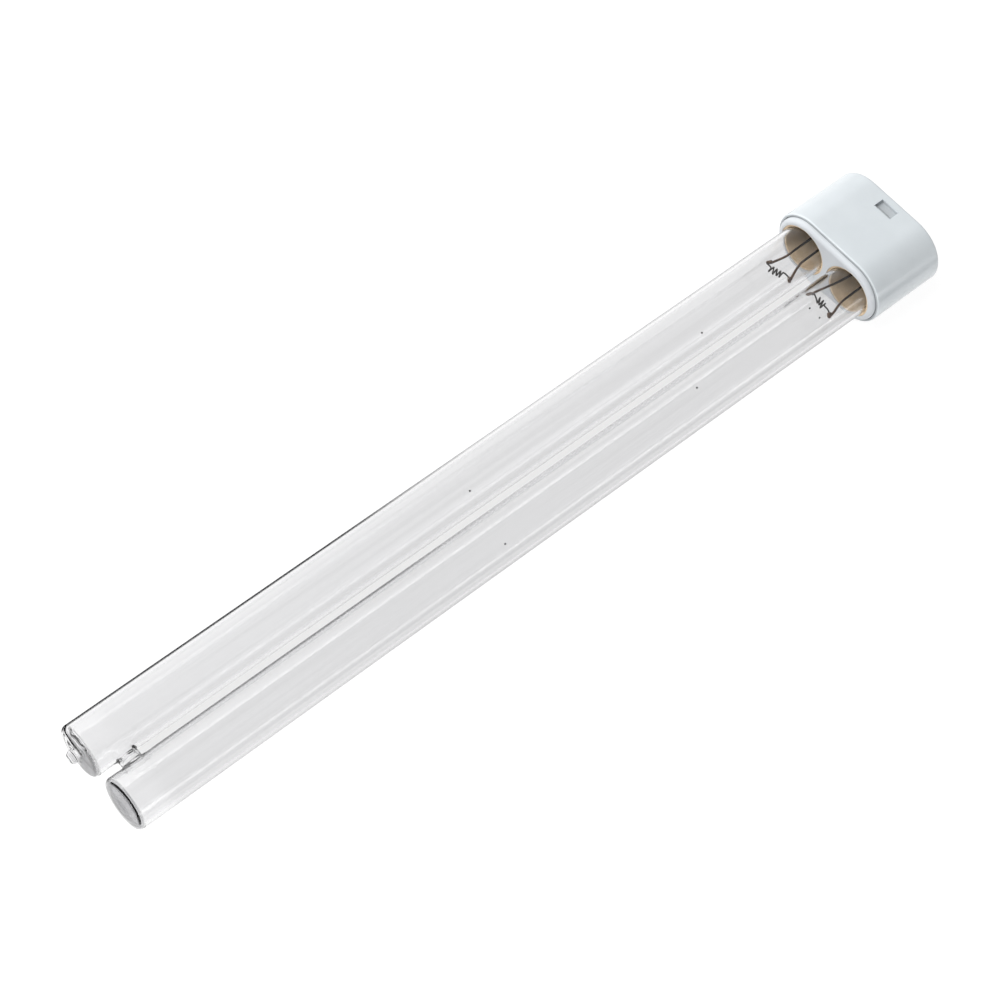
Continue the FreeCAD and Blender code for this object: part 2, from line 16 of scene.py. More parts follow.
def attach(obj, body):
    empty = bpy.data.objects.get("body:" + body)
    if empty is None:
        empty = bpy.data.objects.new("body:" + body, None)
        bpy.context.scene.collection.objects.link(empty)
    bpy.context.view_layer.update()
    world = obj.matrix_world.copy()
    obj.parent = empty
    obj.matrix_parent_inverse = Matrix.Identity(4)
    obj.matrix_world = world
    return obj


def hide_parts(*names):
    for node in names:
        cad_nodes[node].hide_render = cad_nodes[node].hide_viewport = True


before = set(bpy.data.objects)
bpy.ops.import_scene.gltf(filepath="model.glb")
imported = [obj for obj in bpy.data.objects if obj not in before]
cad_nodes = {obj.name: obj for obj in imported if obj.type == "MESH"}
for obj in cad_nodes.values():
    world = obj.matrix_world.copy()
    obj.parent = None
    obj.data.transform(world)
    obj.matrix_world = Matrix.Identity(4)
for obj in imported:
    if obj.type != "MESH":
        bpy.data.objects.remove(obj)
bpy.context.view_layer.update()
MM = 0.001

# %% [markdown]
# ## The camera
#
# The photograph was taken from above the lamp's far end, off to one side, with a long lens. A long
# lens flattens the view: the two ends of the lamp come out almost equally large. The three direction
# vectors are the camera's own axes, written in the lamp's frame.

# %% Place the camera
CAMERA_PLACE = Vector((472.76, 268.15, 665.06)) * MM
CAMERA_RIGHT = Vector((-0.7526, 0.6533, 0.0828))
CAMERA_UP = Vector((-0.5291, -0.6747, 0.5147))
LENS = 94.209
SENSOR = 36.0

camera_back = CAMERA_RIGHT.cross(CAMERA_UP).normalized()
camera_up = camera_back.cross(CAMERA_RIGHT).normalized()
camera_axes = Matrix((CAMERA_RIGHT.normalized(), camera_up, camera_back)).transposed()
camera_data = bpy.data.cameras.new("camera")
camera_data.lens = LENS
camera_data.sensor_width = SENSOR
camera = bpy.data.objects.new("camera", camera_data)
camera.matrix_world = Matrix.Translation(CAMERA_PLACE) @ camera_axes.to_4x4()
bpy.context.scene.collection.objects.link(camera)
bpy.context.scene.camera = camera
bpy.context.scene.view_settings.view_transform = "Standard"
print(f"camera {LENS:.0f} mm, looking along {-camera_back}")

# %% [markdown]
# ## Helpers for materials
#
# Every material starts as one Principled shader. The nodes that feed it are wired by name, so a
# small helper that adds a node, sets its values and joins its inputs keeps each material short.

# %% Material helpers
def add_node(tree, kind, inputs=None, **settings):
    """Add a node, set its properties, and fill its inputs with values or with other sockets."""
    node = tree.nodes.new(kind)
    for name, value in settings.items():
        setattr(node, name, value)
    for name, value in (inputs or {}).items():
        if isinstance(value, bpy.types.NodeSocket):
            tree.links.new(value, node.inputs[name])
        else:
            node.inputs[name].default_value = value
    return node


def new_material(name):
    """A material with an empty tree that holds only its output."""
    material = bpy.data.materials.new(name)
    material.use_nodes = True
    material.node_tree.nodes.clear()
    return material, material.node_tree


def show(tree, shader):
    """Send a shader to the material's output."""
    add_node(tree, "ShaderNodeOutputMaterial", {"Surface": shader.outputs[0]})


def new_group(name, inputs, outputs):
    """A shader node group with named sockets, given as {name: (kind, default)}."""
    tree = bpy.data.node_groups.new(name, "ShaderNodeTree")
    for label, (kind, default) in inputs.items():
        socket = tree.interface.new_socket(label, in_out="INPUT", socket_type=f"NodeSocket{kind}")
        socket.default_value = default
    for label, kind in outputs.items():
        tree.interface.new_socket(label, in_out="OUTPUT", socket_type=f"NodeSocket{kind}")
    return tree, tree.nodes.new("NodeGroupInput"), tree.nodes.new("NodeGroupOutput")


def use_group(tree, group, **values):
    """Place a node group in a material; underscores in the names stand for spaces."""
    inputs = {name.replace("_", " "): value for name, value in values.items()}
    return add_node(tree, "ShaderNodeGroup", inputs, node_tree=group)


print("material helpers ready")

# %% [markdown]
# ## Two effects that several finishes share
#
# **Mottle** is the unevenness of anything moulded, baked or drawn: a coarse cloud of handling marks
# with fine grain on top. It puts out a mask for colour, a roughness between two limits and a height
# for a bump. **Drawn lines** are the faint streaks that run along glass tubing and wire, left by the
# die that they are drawn through: the same noise, stretched along the lamp.

# %% The mottle group
mottle, mottle_in, mottle_out = new_group(
    "Mottle",
    {
        "Coarse Scale": ("Float", 60.0),
        "Fine Scale": ("Float", 1500.0),
        "Roughness Low": ("Float", 0.3),
        "Roughness High": ("Float", 0.5),
    },
    {"Mask": "Float", "Roughness": "Float", "Height": "Float"},
)
place = add_node(mottle, "ShaderNodeTexCoord").outputs["Object"]
coarse = add_node(mottle, "ShaderNodeTexNoise", {
    "Vector": place, "Scale": mottle_in.outputs["Coarse Scale"], "Detail": 4.0, "Roughness": 0.6,
})
fine = add_node(mottle, "ShaderNodeTexNoise", {
    "Vector": place, "Scale": mottle_in.outputs["Fine Scale"], "Detail": 3.0, "Roughness": 0.55,
})
mask = add_node(mottle, "ShaderNodeMapRange", {
    "Value": coarse.outputs["Fac"], "From Min": 0.35, "From Max": 0.65,
}, interpolation_type="SMOOTHSTEP")
roughness = add_node(mottle, "ShaderNodeMapRange", {
    "Value": coarse.outputs["Fac"], "From Min": 0.3, "From Max": 0.7,
    "To Min": mottle_in.outputs["Roughness Low"], "To Max": mottle_in.outputs["Roughness High"],
})
mottle.links.new(mask.outputs["Result"], mottle_out.inputs["Mask"])
mottle.links.new(roughness.outputs["Result"], mottle_out.inputs["Roughness"])
mottle.links.new(fine.outputs["Fac"], mottle_out.inputs["Height"])
print("group", mottle.name)

# %% The drawn-lines group
drawn, drawn_in, drawn_out = new_group(
    "Drawn Lines",
    {"Across Scale": ("Float", 900.0), "Along Scale": ("Float", 4.0)},
    {"Mask": "Float", "Height": "Float"},
)
stretch = add_node(drawn, "ShaderNodeCombineXYZ", {
    "X": drawn_in.outputs["Along Scale"],
    "Y": drawn_in.outputs["Across Scale"],
    "Z": drawn_in.outputs["Across Scale"],
})
stretched = add_node(drawn, "ShaderNodeVectorMath", {
    0: add_node(drawn, "ShaderNodeTexCoord").outputs["Object"], 1: stretch.outputs["Vector"],
}, operation="MULTIPLY")
lines = add_node(drawn, "ShaderNodeTexNoise", {
    "Vector": stretched.outputs["Vector"], "Scale": 1.0, "Detail": 2.0, "Roughness": 0.5,
})
line_mask = add_node(drawn, "ShaderNodeMapRange", {
    "Value": lines.outputs["Fac"], "From Min": 0.45, "From Max": 0.75,
}, interpolation_type="SMOOTHSTEP")
drawn.links.new(line_mask.outputs["Result"], drawn_out.inputs["Mask"])
drawn.links.new(lines.outputs["Fac"], drawn_out.inputs["Height"])
print("group", drawn.name)

# %% [markdown]
# ## Clear glass
#
# Thin clear glass has no colour of its own. What shows is what it does to the light: each surface
# reflects a few percent, and the wall bends the view most where it is seen edge on. A ray crosses
# four surfaces on its way through a tube, so a base colour of 0.9 already dims the view behind by a
# fifth. Shadow rays are let through, because otherwise the wires inside would stand in the dark.
#
# The envelope adds what its making left behind. The flame that closed the ends greyed them: all of
# one end, and half of the pinched one, which is frosted there too. Burnt residue lies in the pinched
# fold as a streak with a knot at its end. Seen edge on, the wall is a long way through, and the rims
# are painted darker: painted shade of the edges. Along one side of each tube, towards the closed
# ends, a near-black strip is a painted reflection of the dark of the room. Each of these could be
# painted as a picture. Here each is a mask on Object coordinates, sharp at any distance.

# %% Mixing helpers
def mix_colours(tree, factor, first, second):
    """The socket of a mix between two colours."""
    node = add_node(tree, "ShaderNodeMix", {"Factor": factor}, data_type="RGBA")
    ends = [socket for socket in node.inputs if socket.type == "RGBA"]
    for socket, colour in zip(ends, (first, second)):
        if isinstance(colour, bpy.types.NodeSocket):
            tree.links.new(colour, socket)
        else:
            socket.default_value = (*colour, 1.0)
    return next(socket for socket in node.outputs if socket.type == "RGBA")


def maths(tree, operation, first, second=0.0):
    """The socket of one sum."""
    return add_node(tree, "ShaderNodeMath", {0: first, 1: second}, operation=operation).outputs[0]


def product(tree, first, *others):
    """The socket of several masks multiplied."""
    for other in others:
        first = maths(tree, "MULTIPLY", first, other)
    return first


def distance(tree, across, up):
    """The socket of the distance from a line, from the two offsets across it."""
    squares = maths(tree, "ADD", product(tree, across, across), product(tree, up, up))
    return maths(tree, "SQRT", squares)


def ramp(tree, value, start, end):
    """The socket of a soft step from 0 at one place to 1 at the other, in millimetres."""
    low, high = sorted((start, end))
    step = add_node(tree, "ShaderNodeMapRange", {
        "Value": value, "From Min": low * MM, "From Max": high * MM,
        "To Min": float(start > end), "To Max": float(start < end),
    }, interpolation_type="SMOOTHSTEP")
    return step.outputs["Result"]


def object_place(tree):
    """The socket of the object coordinates."""
    return add_node(tree, "ShaderNodeTexCoord").outputs["Object"]


def split(tree, vector):
    """The X, Y and Z sockets of a vector."""
    parts = add_node(tree, "ShaderNodeSeparateXYZ", {"Vector": vector})
    return parts.outputs["X"], parts.outputs["Y"], parts.outputs["Z"]


print("mixing helpers ready")

# %% Masks of the flame's marks
WORKED_FROM = (312.8, 313.3)
WORKED_SIDES = [((-9.4, -7.4), 0.78), ((0.0, 1.0), 1.0)]
FROSTED_SIDE = (-9.4, -7.4)
FROSTED_UP_TO = (1.0, 0.0)
FROSTED_ROUGHNESS = 0.35
STREAK_START = (312.6, -16.6, 4.5)
STREAK_LENGTH = 8.9
STREAK_BEGINS = (-1.2, 0.2)
STREAK_ENDS = (STREAK_LENGTH, STREAK_LENGTH - 0.6)
STREAK_OFF_FACE = (0.0, 0.2)
STREAK_BELOW_TIP = (3.0, 2.8)
STREAK_INSIDE = (0.1, 0.3)
STREAK_OUTSIDE = (1.1, 0.8)
KNOT_RADIUS = (0.75, 0.55)


def worked_mask(tree, x, y):
    """Where the flame greyed the closed ends."""
    cloud = 0.0
    for side, strength in WORKED_SIDES:
        cloud = maths(tree, "MAXIMUM", cloud, product(tree, ramp(tree, y, *side), strength))
    return product(tree, cloud, ramp(tree, x, *WORKED_FROM))


def frosted_mask(tree, x, y):
    """Where the pinched end is frosted."""
    return product(tree, ramp(tree, y, *FROSTED_SIDE), ramp(tree, y, *FROSTED_UP_TO),
                   ramp(tree, x, *WORKED_FROM))


def streak_mask(tree, coords):
    """The burnt streak in the fold: two dark edges that run to a knot."""
    fold = add_node(tree, "ShaderNodeMapping", {
        "Vector": coords, "Location": Vector(STREAK_START) * MM,
    }, vector_type="TEXTURE")
    x, y, z = split(tree, fold.outputs["Vector"])
    off = maths(tree, "ABSOLUTE", z)
    edges = product(tree, ramp(tree, off, *STREAK_INSIDE), ramp(tree, off, *STREAK_OUTSIDE),
                    ramp(tree, y, *STREAK_BEGINS), ramp(tree, y, *STREAK_ENDS))
    past = maths(tree, "SUBTRACT", y, STREAK_LENGTH * MM)
    knot = ramp(tree, distance(tree, past, off), *KNOT_RADIUS)
    return product(tree, maths(tree, "MAXIMUM", edges, knot),
                   ramp(tree, x, *STREAK_OFF_FACE), ramp(tree, x, *STREAK_BELOW_TIP))


print("masks of the flame's marks ready")

# %% Masks of the rims
TUBE_OFFSET = 10.2
SKIN = (8.0, 8.3)
DARK_TURN = 158.0
DARK_HALF_WIDTH = (4.0, 3.4)
DARK_SKIN = (7.4, 7.8)
DARK_FADE = (150.0, 215.0)


def skin_mask(tree, y, z):
    """The outer skin of both tubes, without their closed ends."""
    across = maths(tree, "SUBTRACT", maths(tree, "ABSOLUTE", y), TUBE_OFFSET * MM)
    return ramp(tree, distance(tree, across, z), *SKIN)


def painted_reflection_mask(tree, coords, x):
    """A strip along one side of each tube that comes in towards the closed ends: where the dark
    reflection is painted.
    """
    strips = 0.0
    for axis in (-TUBE_OFFSET, TUBE_OFFSET):
        turned = add_node(tree, "ShaderNodeMapping", {
            "Vector": coords, "Location": (0, axis * MM, 0),
            "Rotation": (math.radians(DARK_TURN), 0, 0),
        }, vector_type="TEXTURE")
        _, outward, aside = split(tree, turned.outputs["Vector"])
        strip = product(tree, ramp(tree, maths(tree, "ABSOLUTE", aside), *DARK_HALF_WIDTH),
                        ramp(tree, outward, *DARK_SKIN))
        strips = maths(tree, "MAXIMUM", strips, strip)
    return product(tree, strips, ramp(tree, x, *DARK_FADE))


print("masks of the rims ready")

# %% Glass materials
WORKED_GREY = (0.3, 0.3, 0.31)
BURNT = (0.003, 0.003, 0.003)
# Painted shade of the edges, and a painted dark reflection along one side of each tube.
PAINTED_RIM_SHADE = (0.78, 0.78, 0.785)
PAINTED_DARK_REFLECTION = (0.02, 0.02, 0.021)
DRAWN_SHADE = 0.95
SHADOW_TINT = (0.95, 0.95, 0.95, 1.0)
EDGE_ON = (0.6, 0.78)
NEAR_EDGE = (0.55, 0.7)


def clear_material(name, tint, line_height, envelope=False):
    """Clear drawn glass: plain transmission, a fine bump along the tube, and a light shadow."""
    material, tree = new_material(name)
    drawing = use_group(tree, drawn, Across_Scale=420.0, Along_Scale=5.0)
    bump = add_node(tree, "ShaderNodeBump", {
        "Height": drawing.outputs["Height"], "Strength": 1.0, "Distance": line_height * MM,
    })
    colour = mix_colours(tree, drawing.outputs["Mask"], tint, [DRAWN_SHADE * c for c in tint])
    roughness = 0.0
    if envelope:
        coords = object_place(tree)
        x, y, z = split(tree, coords)
        facing = add_node(tree, "ShaderNodeLayerWeight", {"Blend": 0.5}).outputs["Facing"]
        edge_on, near_edge = (add_node(tree, "ShaderNodeMapRange", {
            "Value": facing, "From Min": low, "From Max": high,
        }).outputs["Result"] for low, high in (EDGE_ON, NEAR_EDGE))
        # The rim grey is painted shade of the edges; the near-black side strip is a painted
        # reflection.
        for mask, tone in [
            (worked_mask(tree, x, y), WORKED_GREY),
            (streak_mask(tree, coords), BURNT),
            (product(tree, edge_on, skin_mask(tree, y, z)), PAINTED_RIM_SHADE),
            (product(tree, painted_reflection_mask(tree, coords, x), near_edge), PAINTED_DARK_REFLECTION),
        ]:
            colour = mix_colours(tree, mask, colour, tone)
        roughness = product(tree, frosted_mask(tree, x, y), FROSTED_ROUGHNESS)
    glass = add_node(tree, "ShaderNodeBsdfPrincipled", {
        "Base Color": colour, "Metallic": 0.0, "Roughness": roughness, "IOR": 1.46,
        "Transmission Weight": 1.0, "Normal": bump.outputs["Normal"],
    })
    clear = add_node(tree, "ShaderNodeBsdfTransparent", {"Color": SHADOW_TINT})
    path = add_node(tree, "ShaderNodeLightPath")
    show(tree, add_node(tree, "ShaderNodeMixShader", {
        0: path.outputs["Is Shadow Ray"], 1: glass.outputs[0], 2: clear.outputs[0],
    }))
    return material


clear_glass = clear_material("clear_drawn_glass", (0.9, 0.9, 0.905), 0.014, envelope=True)
stem_glass = clear_material("stem_glass", (0.88, 0.88, 0.87), 0.004)
print("glass:", clear_glass.name, stem_glass.name)

# %% [markdown]
# ## Moulded plastic, cement, wire and metal
#
# The base is a glossy pale plastic with a cold cast. Its gloss is uneven, because a mould is never
# polished evenly, and a fine bump breaks up the highlights. The collar is a greyer copy of the same
# plastic: painted shade on its front. The joint round the collar and the floors of the latch notches
# are painted darker: painted shade in the gap and in the recesses. The cement that holds the tubes
# is baked at the factory: tan and mottled, with burst bubbles. The leads are nearly black near the
# press and turn brown further on, and the coil's wire is blackened by its coating. Each finish could
# be a tree of its own, but they differ only in their values, so one function makes them all. Only
# the cement, with its bubbles, is wired by itself.

# %% The solid finishes
# Painted shade: the dark of the gap round the collar, and of the latch notches' floors.
JOINT_PAINTED_SHADE = (0.16, 0.17, 0.18)
NOTCH_PAINTED_SHADE = (0.53, 0.56, 0.58)
DARKER_NEAR_PRESS = (0.012, 0.009, 0.007)
NOTCH_DEPTH = (12.1, 11.7)
NOTCH_HALF_WIDTH = (3.7, 3.6)
NOTCH_REAR = (2.0, 2.4)


def solid_material(name, colours, rough, metallic=0.0, coat=0.0, scales=(60.0, 1500.0), bump=0.01,
                   darker_band=None, notch_shade=None):
    """An opaque finish: two colours, roughness and bump from the mottle, a darker band along the
    lamp, and painted shade in the latch notches.

    A darker band is the two places along the lamp between which it grows, its share and its colour:
    painted shade in the collar joint, a darker tone on the leads; a notch shade is the colour of the
    painted shade in the notches.
    """
    material, tree = new_material(name)
    wear = use_group(tree, mottle, Coarse_Scale=scales[0], Fine_Scale=scales[1],
                     Roughness_Low=rough[0], Roughness_High=rough[1])
    relief = add_node(tree, "ShaderNodeBump", {
        "Height": wear.outputs["Height"], "Strength": 1.0, "Distance": bump * MM,
    })
    colour = mix_colours(tree, wear.outputs["Mask"], *colours)
    # A darker band along the lamp: painted shade in the collar joint, a darker tone on the leads.
    if darker_band:
        between, share, band_tone = darker_band
        x, _, _ = split(tree, object_place(tree))
        colour = mix_colours(tree, product(tree, ramp(tree, x, *between), share), colour, band_tone)
    # Painted shade on the floor of each latch notch.
    if notch_shade:
        x, y, z = split(tree, object_place(tree))
        inside = product(tree, ramp(tree, maths(tree, "ABSOLUTE", z), *NOTCH_DEPTH),
                         ramp(tree, maths(tree, "ABSOLUTE", y), *NOTCH_HALF_WIDTH),
                         ramp(tree, x, *NOTCH_REAR))
        colour = mix_colours(tree, inside, colour, notch_shade)
    principled = add_node(tree, "ShaderNodeBsdfPrincipled", {
        "Base Color": colour, "Roughness": wear.outputs["Roughness"], "Metallic": metallic,
        "Coat Weight": coat, "Coat Roughness": 0.15, "Normal": relief.outputs["Normal"],
    })
    show(tree, principled)
    return material


# The housing's joint band and notch colour are painted shade.
housing_plastic = solid_material(
    "housing_plastic", ((0.74, 0.79, 0.82), (0.77, 0.82, 0.85)), (0.3, 0.4), coat=0.6, bump=0.004,
    darker_band=((27.8, 27.98), 0.55, JOINT_PAINTED_SHADE), notch_shade=NOTCH_PAINTED_SHADE)
# A greyer copy of the housing plastic: painted shade on the collar's front; its joint band is
# painted shade too.
shaded_collar_plastic = solid_material(
    "shaded_collar_plastic", ((0.66, 0.69, 0.72), (0.69, 0.72, 0.75)), (0.25, 0.34), coat=0.3, bump=0.003,
    darker_band=((28.2, 27.95), 0.55, JOINT_PAINTED_SHADE))
# The leads are darker towards the press.
lead_metal = solid_material(
    "oxidised_lead", ((0.17, 0.112, 0.08), (0.09, 0.06, 0.045)), (0.35, 0.6), 0.35,
    scales=(900.0, 6000.0), bump=0.02, darker_band=((36.0, 31.5), 0.95, DARKER_NEAR_PRESS))
coil_metal = solid_material(
    "coated_coil", ((0.025, 0.022, 0.02), (0.10, 0.095, 0.09)), (0.5, 0.8), 0.3,
    scales=(1500.0, 9000.0), bump=0.02)
outer_lead_metal = solid_material(
    "copper_clad_lead", ((0.45, 0.25, 0.17), (0.35, 0.2, 0.15)), (0.3, 0.5), 1.0,
    scales=(700.0, 5000.0), bump=0.01)
pin_metal = solid_material(
    "nickel_pin", ((0.62, 0.6, 0.56), (0.52, 0.5, 0.46)), (0.16, 0.34), 1.0,
    scales=(350.0, 4000.0), bump=0.006)
# The beads' near-black colour is a painted reflection of the dark room.
mercury = solid_material(
    "mercury", ((0.03, 0.03, 0.032), (0.07, 0.07, 0.072)), (0.15, 0.35), 0.8,
    scales=(900.0, 4000.0), bump=0.001)
print("solid finishes ready")

# %% Capping cement
CEMENT_PALE = (0.95, 0.75, 0.53)
CEMENT_BAKED = (0.78, 0.60, 0.40)
BUBBLE_RIM = (0.98, 0.90, 0.74)
cement, tree = new_material("capping_cement")
wear = use_group(tree, mottle, Coarse_Scale=300.0, Fine_Scale=2500.0,
                 Roughness_Low=0.75, Roughness_High=0.95)
bubbles = add_node(tree, "ShaderNodeTexVoronoi", {"Vector": object_place(tree), "Scale": 900.0})
flecks = add_node(tree, "ShaderNodeMapRange", {
    "Value": bubbles.outputs["Distance"], "From Min": 0.1, "From Max": 0.22,
    "To Min": 1.0, "To Max": 0.0,
})
baked = mix_colours(tree, wear.outputs["Mask"], CEMENT_PALE, CEMENT_BAKED)
baked = mix_colours(tree, flecks.outputs["Result"], baked, BUBBLE_RIM)
relief = add_node(tree, "ShaderNodeBump", {
    "Height": wear.outputs["Height"], "Strength": 1.0, "Distance": 0.1 * MM,
})
show(tree, add_node(tree, "ShaderNodeBsdfPrincipled", {
    "Base Color": baked, "Roughness": wear.outputs["Roughness"], "Normal": relief.outputs["Normal"],
}))
print("material", cement.name)

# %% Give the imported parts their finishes
FINISHES = {
    "base_housing": housing_plastic,
    "front_collar": shaded_collar_plastic,
    "stem_": stem_glass,
    "capping_cement_": cement,
    "cathode_coil_": coil_metal,
    "lead_wire_": lead_metal,
    "outer_lead_": outer_lead_metal,
    "contact_pin_": pin_metal,
    "mercury_beads": mercury,
}
for name, part in cad_nodes.items():
    for start, finish in FINISHES.items():
        if name.startswith(start):
            part.data.materials.clear()
            part.data.materials.append(finish)
            print(f"{name}: {finish.name}")

# %% [markdown]
# ## The glass tubes
#
# The tubes are drawn pipe: each starts as a half outline spun round its own axis. The far ends are
# melted shut, one smooth and slightly domed, the other pinched off at the pump stem, where the hot
# glass folded. A short neck blown between them lets the arc pass. The outside and the hollow are
# made as separate solids, joined and cut with exact booleans, so that the wall is real: a ray that
# goes through meets an outer and an inner surface, as in glass. Near the neck the outline has many
# points close together, so that smoothing can then blend the neck's edge into the tubes as melting
# did. Last, the points of the pinched end are moved out along the fold and in beside it.
#
# Merging and booleans leave points and faces in an order that changes from run to run, which the
# smoothing would show as small dents in the neck. So each of their results is put in order.

# %% Sizes of the tubes
TUBE_RADIUS = 8.5
BORE_RADIUS = 7.4
GLASS_START = 10.0
GLASS_END = 313.7
HOLLOW_END = 312.3
END_ROUND = 1.65
HOLLOW_ROUND = 1.0
DOME = 1.1
PINCHED_DOME = 0.9
TIP_RADIUS = 2.1
TIP_END = 316.7
BRIDGE_PLACE = 303.3
BRIDGE_RADIUS = 3.25
PASSAGE_RADIUS = 2.45
ROUND_STEPS = 10
SPIN_STEPS = 160
MERGE_WITHIN = 1e-7
tube_axis = {"a": -TUBE_OFFSET, "b": TUBE_OFFSET}


def arc(centre, radius, start, end, steps=ROUND_STEPS):
    """Points of an arc in the outline's plane, from one angle to another in degrees."""
    points = []
    for step in range(steps + 1):
        angle = math.radians(start + (end - start) * step / steps)
        points.append((centre[0] + radius * math.cos(angle), centre[1] + radius * math.sin(angle)))
    return points


def in_order(mesh):
    """Rebuild a bmesh with its points and faces in order of place, so that every run is the same."""
    points = sorted(mesh.verts, key=lambda vert: tuple(vert.co))
    rank = {vert: number for number, vert in enumerate(points)}
    outlines = []
    for face in mesh.faces:
        ring = [rank[vert] for vert in face.verts]
        first = ring.index(min(ring))
        outlines.append(ring[first:] + ring[:first])
    ordered = bmesh.new()
    verts = [ordered.verts.new(vert.co) for vert in points]
    for ring in sorted(outlines):
        ordered.faces.new([verts[number] for number in ring])
    mesh.free()
    return ordered


def spun(outline, centre, axis, steps=SPIN_STEPS):
    """A closed bmesh: the outline, as (along, out) in millimetres, spun round an axis."""
    mesh = bmesh.new()
    along = Vector(axis)
    out = Vector((0, 0, 1))
    origin = Vector(centre) * MM
    verts = [mesh.verts.new(origin + (along * a + out * r) * MM) for a, r in outline]
    edges = [mesh.edges.new(pair) for pair in zip(verts, verts[1:])]
    bmesh.ops.spin(mesh, geom=verts + edges, cent=origin, axis=along,
                   angle=math.tau, steps=steps, use_merge=True)
    bmesh.ops.remove_doubles(mesh, verts=mesh.verts, dist=MERGE_WITHIN)
    bmesh.ops.recalc_face_normals(mesh, faces=mesh.faces)
    return in_order(mesh)


def to_object(mesh, name):
    """Turn a bmesh into an object at the origin."""
    data = bpy.data.meshes.new(name)
    mesh.to_mesh(data)
    mesh.free()
    thing = bpy.data.objects.new(name, data)
    bpy.context.scene.collection.objects.link(thing)
    return thing


def combine(first, second, operation):
    """Join or cut two solids for good; the second is used up."""
    modifier = first.modifiers.new(operation.lower(), "BOOLEAN")
    modifier.object = second
    modifier.operation = operation
    modifier.solver = "EXACT"
    graph = bpy.context.evaluated_depsgraph_get()
    mesh = bmesh.new()
    mesh.from_mesh(bpy.data.meshes.new_from_object(first.evaluated_get(graph)))
    mesh = in_order(mesh)
    first.modifiers.clear()
    mesh.to_mesh(first.data)
    mesh.free()
    bpy.data.objects.remove(second)
    return first


print("shape helpers ready")

# %% The outside of the two tubes
DOME_STEPS = 12
POINT_GAP = 0.45
BESIDE_BRIDGE = (295.0, 311.0)
CORNER_END = 14
TIP_ROOT = 0.7
TIP_ROUND = 1.4


def dome(rim, edge, height, inner):
    """Points of a shallow dome, from its rim inward to a smaller radius."""
    sphere = (edge ** 2 + height ** 2) / (2 * height)
    points = []
    for step in range(1, DOME_STEPS + 1):
        out = edge + (inner - edge) * step / DOME_STEPS
        points.append((rim + height - sphere + math.sqrt(sphere ** 2 - out ** 2), out))
    return points


def straight(radius, start, end):
    """Points along a straight stretch of tube, close enough together to be reshaped."""
    count = round((end - start) / POINT_GAP)
    return [(start + (end - start) * index / count, radius) for index in range(count + 1)]


def spun_tube(name, tube, outline):
    """A tube's outline, spun round that tube's own axis."""
    return to_object(spun(outline, (0, tube_axis[tube], 0), (1, 0, 0)), name)


tube_side = [(GLASS_START, 0), (GLASS_START, TUBE_RADIUS), *straight(TUBE_RADIUS, *BESIDE_BRIDGE)]
end_corner = arc((GLASS_END - END_ROUND, TUBE_RADIUS - END_ROUND), END_ROUND, 90, CORNER_END)
pinched_dome = dome(*end_corner[-1], PINCHED_DOME, TIP_RADIUS + TIP_ROOT)
tip_place = (pinched_dome[-1][0] + TIP_ROOT, TIP_RADIUS + TIP_ROOT)
tip_root = arc(tip_place, TIP_ROOT, 180, 270, 6)[1:]
tip_round = arc((TIP_END - TIP_ROUND, TIP_RADIUS - TIP_ROUND), TIP_ROUND, 90, 0, 8)
pinched_end = [*tube_side, *end_corner, *pinched_dome, *tip_root, *tip_round, (TIP_END, 0)]
domed_end = [*tube_side, *end_corner, *dome(*end_corner[-1], DOME, 0)]
tube_a = spun_tube("outside_a", "a", pinched_end)
tube_b = spun_tube("outside_b", "b", domed_end)
print("outsides:", len(tube_a.data.polygons), len(tube_b.data.polygons), "faces")

# %% The neck between them, and one solid outside
NECK_POINTS = 80
NECK_STEPS = 96
NECK_FLARE = 1.5
NECK_REACH = 4.0
FLARE_FROM = 0.1
FLARE_LENGTH = 2.4


def neck_outline(radius, flare, reach):
    """Half the outline of a neck that widens towards both tubes."""
    points = [(-reach, 0)]
    for step in range(NECK_POINTS + 1):
        y = reach * (2 * step / NECK_POINTS - 1)
        widening = min(1.0, max(0.0, abs(y) - FLARE_FROM) / FLARE_LENGTH)
        points.append((y, radius + flare * (1 - math.sqrt(1 - widening ** 2))))
    return [*points, (reach, 0)]


def spun_neck(name, radius, flare, reach):
    """A neck from tube to tube, spun round the line across them."""
    outline = neck_outline(radius, flare, reach)
    return to_object(spun(outline, (BRIDGE_PLACE, 0, 0), (0, 1, 0), NECK_STEPS), name)


neck = spun_neck("neck", BRIDGE_RADIUS, NECK_FLARE, NECK_REACH)
outside = combine(combine(tube_a, neck, "UNION"), tube_b, "UNION")
print("outside:", len(outside.data.polygons), "faces")

# %% The hollow, cut out of it
HOLLOW_START = GLASS_START - 1.0
PASSAGE_FLARE = 0.5
PASSAGE_REACH = 5.0


def bore_outline(height):
    """Half the outline of a tube's hollow, with a domed far end."""
    centre = (HOLLOW_END - HOLLOW_ROUND, BORE_RADIUS - HOLLOW_ROUND)
    corner = arc(centre, HOLLOW_ROUND, 90, CORNER_END)
    return [(HOLLOW_START, 0), (HOLLOW_START, BORE_RADIUS),
            *straight(BORE_RADIUS, *BESIDE_BRIDGE), *corner, *dome(*corner[-1], height, 0)]


hollow_a = spun_tube("hollow_a", "a", bore_outline(PINCHED_DOME))
hollow_b = spun_tube("hollow_b", "b", bore_outline(DOME))
passage = spun_neck("passage", PASSAGE_RADIUS, PASSAGE_FLARE, PASSAGE_REACH)
hollow = combine(combine(hollow_a, passage, "UNION"), hollow_b, "UNION")
tubes = combine(outside, hollow, "DIFFERENCE")
tubes.name = "glass_tubes"
print("tubes:", len(tubes.data.polygons), "faces")

